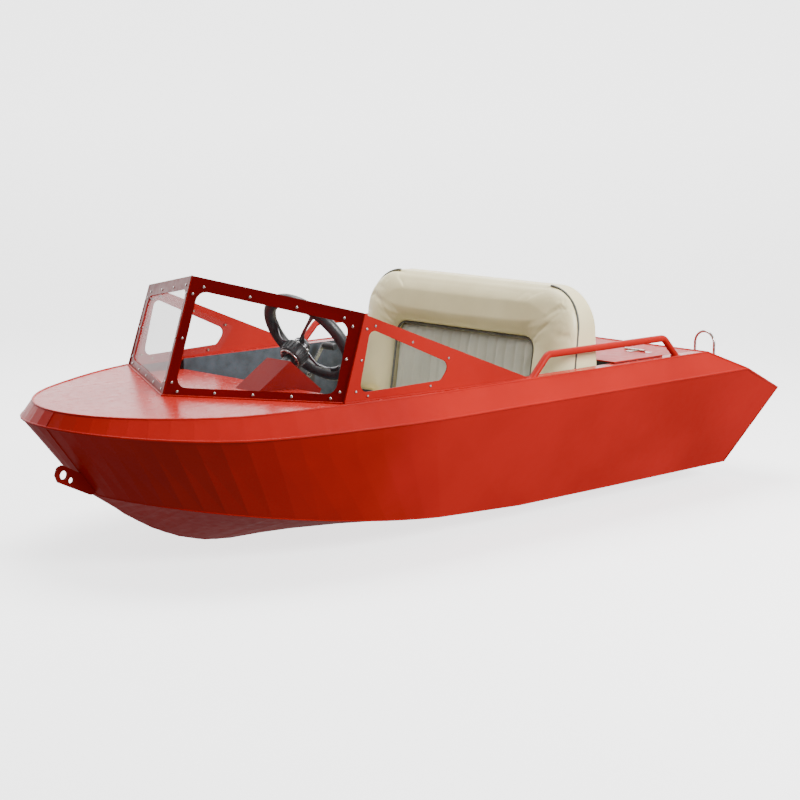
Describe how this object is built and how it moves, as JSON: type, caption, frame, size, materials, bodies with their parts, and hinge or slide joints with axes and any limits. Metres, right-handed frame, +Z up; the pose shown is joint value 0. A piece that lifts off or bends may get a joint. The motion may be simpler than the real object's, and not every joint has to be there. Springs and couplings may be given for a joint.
{
  "type": "mini jet boat",
  "caption": "Small open welded boat with a V-bottom hull, framed windscreen, bench seat, centre helm and a steerable water jet with a reverse bucket.",
  "frame": {"origin": "centre of the bounding box on the ground plane, under the keel", "axes": "+X towards the bow, +Y to port, +Z up"},
  "size_m": [2.9932, 1.33, 0.906],
  "materials": {
    "red_paint": "gloss",
    "charcoal_lining": "satin",
    "clear_acrylic": "clear",
    "stainless": "brushed",
    "black_plastic": "matte",
    "grey_metal": "satin",
    "cream_vinyl": "satin",
    "rubber_seal": "matte",
    "cast_alloy": "satin",
    "bronze": "satin"
  },
  "bodies": {
    "hull": {"bottom_plate_port": "red_paint", "bottom_plate_starboard": "red_paint", "side_plate_port": "red_paint", "side_plate_starboard": "red_paint", "gunwale_bevel_port": "red_paint", "gunwale_bevel_starboard": "red_paint", "foredeck": "red_paint", "side_deck_port": "red_paint", "side_deck_starboard": "red_paint", "aft_deck": "red_paint", "stern_slope_plate": "red_paint", "transom": "red_paint", "keel_bar": "red_paint", "floor_frames": "red_paint", "cockpit_sole": "charcoal_lining", "lining_port": "charcoal_lining", "lining_starboard": "charcoal_lining", "dash_panel": "red_paint", "forward_bulkhead": "charcoal_lining", "engine_bulkhead": "charcoal_lining", "screen_frame_port": "red_paint", "screen_frame_starboard": "red_paint", "side_frame_port": "red_paint", "side_frame_starboard": "red_paint", "screen_pane_port": "clear_acrylic", "screen_pane_starboard": "clear_acrylic", "side_pane_port": "clear_acrylic", "side_pane_starboard": "clear_acrylic", "screws_port": "stainless", "screws_starboard": "stainless", "helm_console": "red_paint", "column_bearing": "black_plastic", "throttle_box": "black_plastic", "seat_base": "charcoal_lining", "seat_cushion": "cream_vinyl", "seat_backrest": "cream_vinyl", "grab_rail_port": "red_paint", "grab_rail_starboard": "red_paint", "stern_loop_port": "stainless", "stern_loop_starboard": "stainless", "bow_eye": "red_paint", "hatch_seal": "rubber_seal", "hatch_hinge_pins": "stainless", "engine_block": "grey_metal", "intake_duct": "cast_alloy", "intake_grate": "stainless", "pump_housing": "cast_alloy", "fuel_tank": "red_paint"},
    "steering_wheel": {"steering_shaft": "stainless", "wheel_rim": "black_plastic", "wheel_spokes": "grey_metal", "wheel_boss": "black_plastic"},
    "throttle": {"throttle_lever": "stainless", "throttle_grip": "black_plastic"},
    "hatch": {"engine_hatch": "red_paint", "hatch_hinges": "stainless"},
    "drive": {"drive_shaft": "stainless", "impeller": "bronze"},
    "nozzle": {"steering_nozzle": "cast_alloy"},
    "bucket": {"reverse_bucket": "cast_alloy"}
  },
  "joints": [
    {"name": "wheel_turn", "type": "hinge", "parent": "hull", "child": "steering_wheel", "pos_m": [0.4076, 0, 0.658], "axis": [-0.809, 0, 0.5878], "range_deg": [-135, 135]},
    {"name": "nozzle_steer", "type": "hinge", "parent": "hull", "child": "nozzle", "pos_m": [-1.4534, 0, 0.12], "axis": [0, 0, 1], "range_deg": [-23, 23]},
    {"name": "bucket_swing", "type": "hinge", "parent": "hull", "child": "bucket", "pos_m": [-1.4064, 0, 0.12], "axis": [0, -1, 0], "range_deg": [0, 70]},
    {"name": "throttle_swing", "type": "hinge", "parent": "hull", "child": "throttle", "pos_m": [-0.0514, -0.5231, 0.425], "axis": [0, 1, 0], "range_deg": [0, 65]},
    {"name": "hatch_swing", "type": "hinge", "parent": "hull", "child": "hatch", "pos_m": [-0.8274, 0, 0.5466], "axis": [0, -1, 0], "range_deg": [0, 70]},
    {"name": "shaft_spin", "type": "hinge", "parent": "hull", "child": "drive", "pos_m": [-1.1914, 0, 0.12], "axis": [1, 0, 0], "continuous": true}
  ],
  "couplings": [
    {"joint": "nozzle_steer", "follows": "wheel_turn", "ratio": -0.163}
  ]
}
